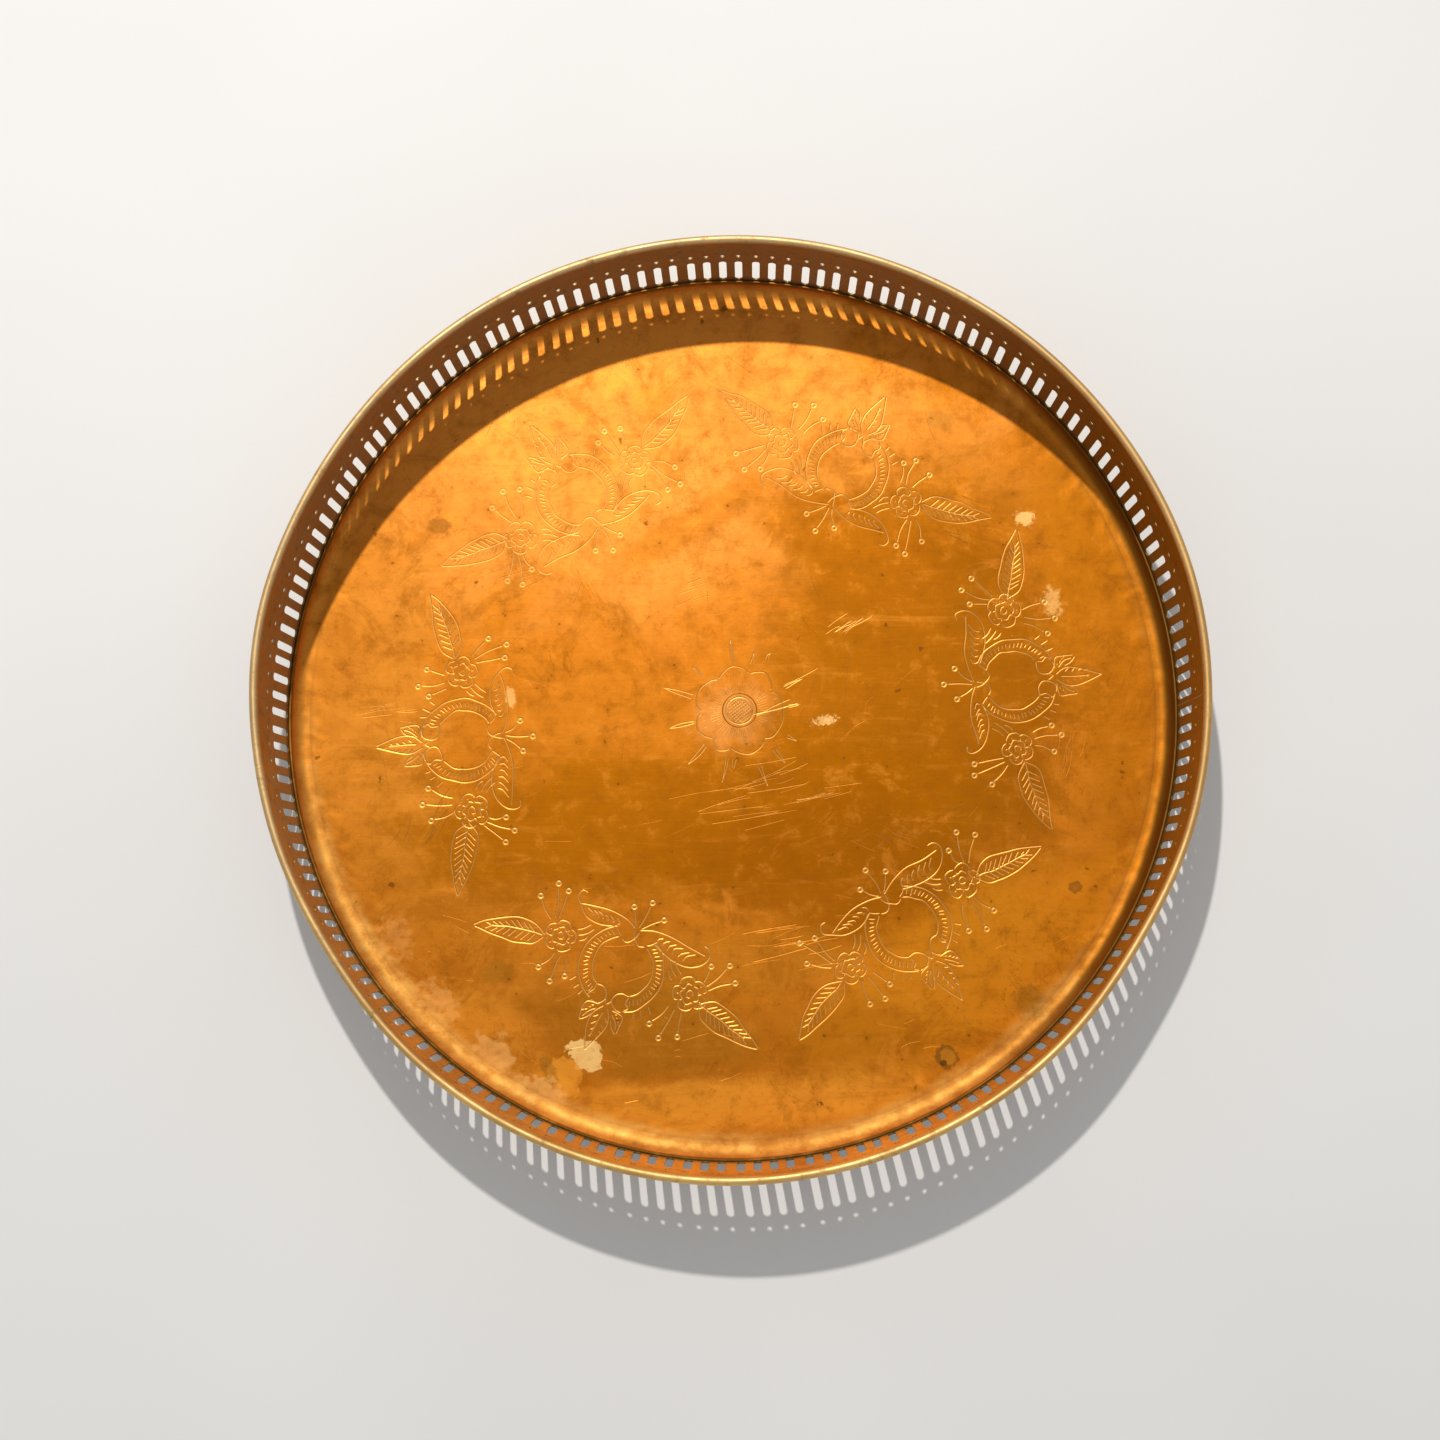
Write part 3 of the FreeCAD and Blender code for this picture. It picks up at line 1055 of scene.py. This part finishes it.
# On the cove: a painted highlight on its near side, painted shade on its right, and dirt with a painted dark
# reflection at its top
PAINTED_COVE_HIGHLIGHT, RIGHT_COVE_SHADE, CORNER_DIRT_AND_SHADE = (0.9, 0.53, 0.13), (0.18, 0.075, 0.008), (0.22, 0.11, 0.022)
DARK_BACK, PALE_BACK, BACK_MOTTLE = (0.42, 0.19, 0.032), (0.56, 0.275, 0.058), (0.22, 0.095, 0.016)
# groove colours: clean metal with a painted highlight, and dirt with painted shade in the flower's outer ring
BRIGHT_CUT, DARK_CUT = (0.94, 0.52, 0.14), (0.22, 0.075, 0.006)

# Where the floor's looks change, from and to, in metres
COVE_HIGHLIGHT_EDGE = (0.208, 0.2145)  # distance out: the cove's painted highlight begins
KNOCKED_EDGE = (0.198, 0.211)  # distance out: the cove's small dents begin
RIGHT_SHADE_SIDE = (0.1, 0.2)  # distance to the right: painted shade darkens the cove
COVE_FOOT = (0.0013, 0.003)  # height: the cove leaves the floor
DARK_CORNER_HEIGHT = (0.0052, 0.0078)  # height: the cove's top turns brown, with dirt and a painted dark reflection
UNDERSIDE = (0.0009, 0.0005)  # height: the underside's plain brass begins


def mottled(s, cloud, wander, streaks):
    """The floor's ground colour: warm patches, blotches, streaks, veins and single stains."""
    colour = s.mix(s.span(cloud, 0.38, 0.62), DEEP_BRASS, WARM_BRASS)
    for *oval, tint, strength in TONES:
        colour = s.mix(s.times(s.blob(oval, *TONE_EDGE, wander), strength), colour, tint)
    colour = s.tinted(colour, DARK_BLOTCH, 0.38, s.noise(24, 8, 0.72, 1), 0.53, 0.62)
    pale = s.noise(21, 8, 0.74, 1.4, s.stretched(1, 1.4, 1, 34.377))
    colour = s.tinted(colour, PALE_BLOTCH, 0.34, pale, 0.56, 0.66)
    colour = s.tinted(colour, DARK_STREAK, 0.38, streaks, 0.52, 0.72)
    colour = s.tinted(colour, PALE_STREAK, 0.3, streaks, 0.46, 0.28)
    vein = s.math("ABSOLUTE", s.centred(s.noise(13, 7, 0.68, 1.2)))
    thin = s.times(s.span(vein, 0.01, 0), s.span(wander, 0.46, 0.6))
    colour = s.mix(s.times(thin, 0.42), colour, VEIN)
    for *oval, ragged, soft, tint, strength in STAINS:
        colour = s.mix(s.times(s.blob(oval, ragged, soft), strength), colour, tint)
    return colour


def speckled(s, colour, fine):
    """Fine dirt in the colour, down to single specks."""
    colour = s.tinted(colour, DARK_MOTTLE, 0.5, fine, 0.48, 0.72)
    colour = s.tinted(colour, PALE_MOTTLE, 0.25, fine, 0.46, 0.3)
    colour = s.tinted(colour, GRAIN, 0.3, s.noise(330, 4, 0.65), 0.55, 0.75)
    return s.tinted(colour, SPECK, 0.65, s.noise(150, 3, 0.55), 0.7, 0.735)


def cove_highlight_mask(s, wander):
    """Painted highlight on the cove: strongest on its near side, with an uneven edge towards the floor."""
    uneven = s.math("ADD", s.far(s.place), s.times(s.centred(wander), 0.012))
    nearness = s.math("ADD", s.axis("Y"), s.times(s.axis("X"), 0.25))
    return s.times(s.span(uneven, *COVE_HIGHLIGHT_EDGE), s.span(nearness, -0.02, -0.19, 0.12, 1))


def brass_floor():
    """Old polished brass of the pan: warm, mottled, stained, rubbed in fine curved scratches, with a painted
    highlight on the cove's near side, painted shade on its right and dirt with a painted dark reflection at
    its top.
    """
    s = Shader("engraved_brass")
    cloud, fine = s.noise(9, 6, 0.66, 0.4), s.noise(75, 6, 0.7)
    wander = s.noise(17, 8, 0.72, 0.8)
    streaks = s.noise(34, 6, 0.68, 0.5, s.stretched(0.45, 2.6, 1, -16))
    colour = speckled(s, mottled(s, cloud, wander, streaks), fine)
    cove_highlight = cove_highlight_mask(s, wander)
    blotchy = s.times(s.span(fine, 0.6, 0.4, 0.45, 0.85), s.span(streaks, 0.6, 0.42, 0.62, 1))
    # painted highlight on the cove's near side, broken into blotches
    colour = s.mix(s.times(cove_highlight, blotchy), colour, PAINTED_COVE_HIGHLIGHT)
    height = s.axis("Z")
    # painted shade on the right-hand side of the cove
    right = s.times(s.span(s.axis("X"), *RIGHT_SHADE_SIDE), s.span(height, *COVE_FOOT))
    colour = s.mix(s.times(right, 0.85), colour, RIGHT_COVE_SHADE)
    # dirt and a painted dark reflection at the cove's top, where it meets the wall
    corner = s.times(s.span(height, *DARK_CORNER_HEIGHT), s.span(fine, 0.3, 0.55, 0.6, 1))
    colour = s.mix(corner, colour, CORNER_DIRT_AND_SHADE)
    back = s.mix(s.span(cloud, 0.38, 0.62), DARK_BACK, PALE_BACK)
    back = s.tinted(back, BACK_MOTTLE, 0.5, fine, 0.48, 0.72)
    colour = s.mix(s.span(height, *UNDERSIDE), colour, back)
    # grooves lightened for clean metal and a painted highlight; the flower's outer ring darkened with dirt
    # and painted shade
    engraved = s.painted("engraved")
    colour = s.mix(s.math("MULTIPLY", engraved, 0.62, True), colour, BRIGHT_CUT)
    colour = s.mix(s.math("MULTIPLY", engraved, -0.8, True), colour, DARK_CUT)
    rough = s.math("ADD", s.span(cloud, 0.3, 0.7, 0.52, 0.62), s.times(s.centred(fine), 0.2))
    rough = s.math("SUBTRACT", rough, s.times(s.math("ABSOLUTE", engraved), 0.12))
    rough = s.math("ADD", rough, s.times(cove_highlight, 0.1))
    return s.finish(colour, rough, 1, floor_bumps(s, fine))


def floor_bumps(s, fine):
    """The floor's slow waves, the knocks on the cove, two sets of rubbing marks and fine pitting."""
    normal = s.bump(s.noise(5.5, 2, 0.4), 0.5, 6)
    knocks = s.centred(s.noise(42, 2, 0.5, 0.4))
    normal = s.bump(s.times(knocks, s.span(s.far(s.place), *KNOCKED_EDGE)), 0.55, 2.4, normal)
    rub = s.noise(60, 4, 0.65, 0, s.stretched(0.35, 5, 1, -14))
    rub_two = s.noise(85, 4, 0.65, 0, s.stretched(6, 0.4, 1, 28))
    normal = s.bump(s.math("ADD", rub, s.times(rub_two, 0.6)), 0.25, 0.14, normal)
    return s.bump(fine, 0.35, 0.16, normal)


OUTSIDE_TARNISH_AND_SHADE = 0.25  # how much of the far left's tarnish and painted shade the wall's outside has
WALL_MOTTLE, FOOT_DIRT_AND_SHADE = (0.2, 0.12, 0.035), (0.17, 0.09, 0.022)
FOOT_DIRT_AND_SHADE_TOP = (0.014, 0.008)  # height in metres: dirt and a painted dark reflection darken the wall's foot
FAR_LEFT = (-0.15, 0.17)  # metres from the near right to the far left: tarnish and painted shade grow
WALL_RIGHT_SHADE = (0.09, 0.2)  # metres to the right: painted shade on the wall's inside


def brass_wall(name, bright, dark, far_left, right, rough):
    """Brass of the gallery or rim: greyer most on the far left with tarnish and painted shade, painted shade
    on the right's inside, dirt and a painted dark reflection at the foot; for both sides, a colour and
    strength.
    """
    s = Shader(name)
    fine = s.noise(190, 5, 0.66)
    upright = s.noise(44, 5, 0.66, 0, s.stretched(3, 3, 0.5))
    outer = s.painted("outer")
    colour = s.mix(s.span(s.noise(22, 6, 0.66, 0.5), 0.4, 0.62), bright, dark)
    across = s.axis("Y", s.stretched(1, 1, 1, -38))
    # greyer brown towards the far left, mostly inside: tarnish and painted shade
    brown, tarnish_and_shade = far_left
    kept = s.times(s.span(across, *FAR_LEFT, 0.15, 1), s.span(outer, 0, 1, tarnish_and_shade, OUTSIDE_TARNISH_AND_SHADE))
    colour = s.mix(s.times(s.span(upright, 0.3, 0.62, 0.55, 1), kept), colour, brown)
    colour = s.tinted(colour, WALL_MOTTLE, 0.5, fine, 0.52, 0.75)
    # painted shade on the inside of the right-hand wall
    shade, strength = right
    right_inside_shade = s.times(s.span(s.axis("X"), *WALL_RIGHT_SHADE), s.span(outer, 0, 1, strength, 0))
    colour = s.mix(right_inside_shade, colour, shade)
    # dirt and a painted dark reflection at the wall's foot
    foot_dirt_and_shade = s.times(s.span(s.axis("Z"), *FOOT_DIRT_AND_SHADE_TOP), s.span(upright, 0.25, 0.6, 0.55, 1))
    colour = s.mix(foot_dirt_and_shade, colour, FOOT_DIRT_AND_SHADE)
    normal = s.bump(s.noise(16, 3, 0.5), 0.35, 1.2)
    return s.finish(colour, s.span(fine, 0.3, 0.7, *rough), 0.95, s.bump(fine, 0.3, 0.12, normal))


def grey_metal(name, dark, pale, rough):
    s = Shader(name)
    cloud = s.noise(120, 4, 0.6)
    colour = s.mix(s.span(cloud, 0.35, 0.65), dark, pale)
    return s.finish(colour, s.span(cloud, 0.3, 0.7, *rough), 0.85, s.bump(cloud, 0.4, 0.25))


# -------- assembly

def add(piece, slot, material, *nodes):
    piece.data.materials.append(material)
    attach(piece, "root")
    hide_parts(*nodes)


# far_left: tarnish and painted shade; right: painted shade on the inside of the right-hand wall
gallery_brass = brass_wall(
    "gallery_brass", bright=(0.64, 0.365, 0.09), dark=(0.46, 0.24, 0.048),
    far_left=((0.47, 0.36, 0.215), 0.95), right=((0.27, 0.15, 0.014), 0.8), rough=(0.42, 0.6))
rim_brass = brass_wall(
    "rim_brass", bright=(0.82, 0.53, 0.19), dark=(0.6, 0.36, 0.11),
    far_left=((0.62, 0.44, 0.24), 0.7), right=((0.62, 0.36, 0.14), 0.5), rough=(0.44, 0.62))
solder = grey_metal("old_solder", (0.3, 0.24, 0.15), (0.42, 0.36, 0.27), (0.5, 0.75))
steel = grey_metal("wire_steel", (0.2, 0.19, 0.18), (0.34, 0.33, 0.32), (0.35, 0.55))

add(build_pan(), "brass_pan", brass_floor(), "tray_pan")
slots = slot_angles()
half_count = SLOT_COUNT // 2
add(build_strip("pierced_gallery_back", 0, slots[:half_count]), "brass_gallery", gallery_brass,
    "gallery_strip_back")
add(build_strip("pierced_gallery_front", 180, slots[half_count:]), "brass_gallery", gallery_brass,
    "gallery_strip_front")
add(build_bead(), "brass_rim", rim_brass, "rim_bead")
add(build_wire(), "steel_wire", steel, "rim_wire")
add(build_joint_solder(), "solder", solder, "gallery_joint_solder")
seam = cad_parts["foot_solder_seam"]
seam.data.materials.clear()
seam.data.materials.append(solder)


# -------- stage, light and camera

GROUND_REACH = 40000  # half the ground's width, in mm
GROUND_DROP = 0.2  # gap between the tray's underside and the ground, in mm
KEY_DIRECTION = (-0.145, 0.663, 1)
KEY_DISTANCE = 2.2  # metres
KEY_SIZE = 0.06  # metres across: small, for shadows as crisp as the sun's
KEY_POWER = 34
KEY_COLOUR = (1, 0.96, 0.9)
FILL_COLOUR = (0.95, 0.97, 1, 1)
FILL_STRENGTH = 0.5
CAMERA_LENS = 50.53  # mm, on a sensor 36 mm wide
CAMERA_SHIFT = (-0.0069, -0.0193)
CAMERA_LEAN = radians(8.37)  # off straight overhead
CAMERA_SWING = radians(6.2)  # of that lean, from the front to the right
CAMERA_DISTANCE = 4.217  # in rim radii


def build_stage():
    reach, drop = GROUND_REACH, -GROUND_DROP
    corners = [(-reach, -reach, drop), (reach, -reach, drop), (reach, reach, drop), (-reach, reach, drop)]
    ground = new_object("ground", corners, [(0, 1, 2, 3)])
    s = Shader("pale_ground")
    colour = s.mix(s.span(s.noise(3, 2), 0.3, 0.7), (0.76, 0.75, 0.735), (0.79, 0.78, 0.765))
    ground.data.materials.append(s.finish(colour, 0.9))


def put(obj, location, target):
    """Place an object and point its -Z at a target, with its Y near the tray's +Y."""
    back = (location - target).normalized()
    right = Vector((0, 1, 0)).cross(back).normalized()
    matrix = obj.matrix_world.copy()
    for row in range(3):
        matrix[row] = (right[row], back.cross(right)[row], back[row], location[row])
    obj.matrix_world = matrix
    bpy.context.collection.objects.link(obj)


def build_light():
    data = bpy.data.lights.new("key_softbox", "AREA")
    data.shape = "DISK"
    data.size, data.energy, data.color = KEY_SIZE, KEY_POWER, KEY_COLOUR
    lamp = bpy.data.objects.new("key_softbox", data)
    put(lamp, Vector(KEY_DIRECTION).normalized() * KEY_DISTANCE, Vector((0, 0, 0)))
    world = bpy.data.worlds.new("studio")
    world.use_nodes = True
    background = world.node_tree.nodes["Background"]
    background.inputs["Color"].default_value = FILL_COLOUR
    background.inputs["Strength"].default_value = FILL_STRENGTH
    bpy.context.scene.world = world


def build_camera():
    """Camera nearly overhead, a little to the front and right."""
    data = bpy.data.cameras.new("camera")
    data.sensor_width = 36
    data.lens = CAMERA_LENS
    data.shift_x, data.shift_y = CAMERA_SHIFT
    outward = sin(CAMERA_LEAN)
    direction = Vector((sin(CAMERA_SWING) * outward, -cos(CAMERA_SWING) * outward, cos(CAMERA_LEAN)))
    camera = bpy.data.objects.new("camera", data)
    middle = Vector((0, 0, RIM_HEIGHT * MM))
    put(camera, middle + direction * (CAMERA_DISTANCE * RIM_RADIUS * MM), middle)
    bpy.context.scene.camera = camera


build_stage()
build_light()
build_camera()
bpy.context.scene.view_settings.view_transform = "Standard"
